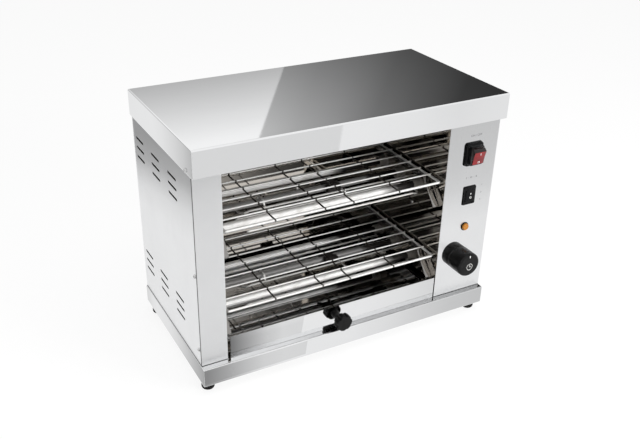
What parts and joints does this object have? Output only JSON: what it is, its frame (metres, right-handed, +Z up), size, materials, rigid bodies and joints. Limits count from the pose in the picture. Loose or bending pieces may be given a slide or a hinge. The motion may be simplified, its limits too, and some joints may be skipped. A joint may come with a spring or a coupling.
{
  "type": "two-level quartz cheese melter",
  "caption": "Counter-top cheese melter: sheet-metal cabinet with an open front, two sliding wire racks between guarded quartz tube heaters, a crumb tray and a side control panel.",
  "frame": {"origin": "middle of the bounding box in X and Y, on the surface that the feet stand on", "axes": "X to the right seen from the front, Y to the back (the front faces -Y), Z up"},
  "size_m": [0.5388, 0.3298, 0.4095],
  "materials": {
    "cover_steel": "polished stainless steel sheet",
    "body_steel": "polished stainless steel sheet",
    "cavity_steel": "mirror-polished stainless steel lining",
    "tray_steel": "polished stainless steel sheet",
    "wire_chrome": "bright plated wire",
    "guard_wire": "bright wire, slightly heat-tinted",
    "quartz": "milky quartz",
    "ceramic": "unglazed cream ceramic",
    "dark_ceramic": "sooted dark ceramic",
    "black_plastic": "satin black moulded plastic",
    "red_lens": "translucent red",
    "amber_lens": "translucent amber",
    "foot_rubber": "matt black",
    "screw_steel": "bright screw steel",
    "terminal_plastic": "white porcelain",
    "timer_case": "grey moulded case"
  },
  "bodies": {
    "cabinet": {"top_cover": "cover_steel", "base_pan": "body_steel", "bottom_plate": "body_steel", "left_side_panel": "body_steel", "right_side_panel": "body_steel", "front_left_post": "body_steel", "control_panel": "body_steel", "front_header": "body_steel", "back_panel": "body_steel", "cavity_left_liner": "cavity_steel", "cavity_right_liner": "cavity_steel", "cavity_back_liner": "cavity_steel", "ceiling_reflector": "cavity_steel", "quartz_tubes_top": "quartz", "quartz_tubes_middle": "quartz", "quartz_tubes_bottom": "quartz", "tube_holders_top": "ceramic", "tube_holders_middle": "ceramic", "tube_holders_bottom": "ceramic", "guard_wires_top": "guard_wire", "guard_wires_middle": "guard_wire", "guard_wires_bottom": "guard_wire", "guard_clips": "guard_wire", "centre_supports": "dark_ceramic", "upper_left_rail": "cavity_steel", "upper_right_rail": "cavity_steel", "lower_left_rail": "cavity_steel", "lower_right_rail": "cavity_steel", "tray_guides": "body_steel", "main_switch_body": "black_plastic", "selector_body": "black_plastic", "pilot_lamp_body": "black_plastic", "pilot_lamp_lens": "amber_lens", "timer_body": "timer_case", "feet": "foot_rubber", "foot_screws": "screw_steel", "left_screws": "screw_steel", "right_screws": "screw_steel", "back_screws": "screw_steel", "liner_screws": "screw_steel", "cable_gland": "black_plastic", "terminal_block": "terminal_plastic"},
    "tray": {"crumb_tray": "tray_steel", "tray_knob": "black_plastic", "tray_knob_stud": "screw_steel"},
    "upper_rack": {"upper_rack": "wire_chrome"},
    "lower_rack": {"lower_rack": "wire_chrome"},
    "main_rocker": {"main_switch_rocker": "red_lens"},
    "selector": {"selector_rocker": "black_plastic"},
    "timer": {"timer_shaft": "screw_steel", "timer_knob": "black_plastic"}
  },
  "joints": [
    {"name": "crumb_tray_slide", "type": "slide", "parent": "cabinet", "child": "tray", "axis": [0, -1, 0], "range_m": [0, 0.215]},
    {"name": "upper_rack_slide", "type": "slide", "parent": "cabinet", "child": "upper_rack", "axis": [0, -1, 0], "range_m": [0, 0.15]},
    {"name": "lower_rack_slide", "type": "slide", "parent": "cabinet", "child": "lower_rack", "axis": [0, -1, 0], "range_m": [0, 0.15]},
    {"name": "main_switch_rock", "type": "hinge", "parent": "cabinet", "child": "main_rocker", "pos_m": [0.2145, -0.12495, 0.3125], "axis": [-1, 0, 0], "range_deg": [0, 24]},
    {"name": "selector_rock", "type": "hinge", "parent": "cabinet", "child": "selector", "pos_m": [0.2176, -0.11245, 0.2367], "axis": [-1, 0, 0], "range_deg": [-11, 11]},
    {"name": "timer_turn", "type": "hinge", "parent": "cabinet", "child": "timer", "pos_m": [0.1954, -0.14045, 0.1323], "axis": [0, 1, 0], "range_deg": [0, 300]}
  ]
}
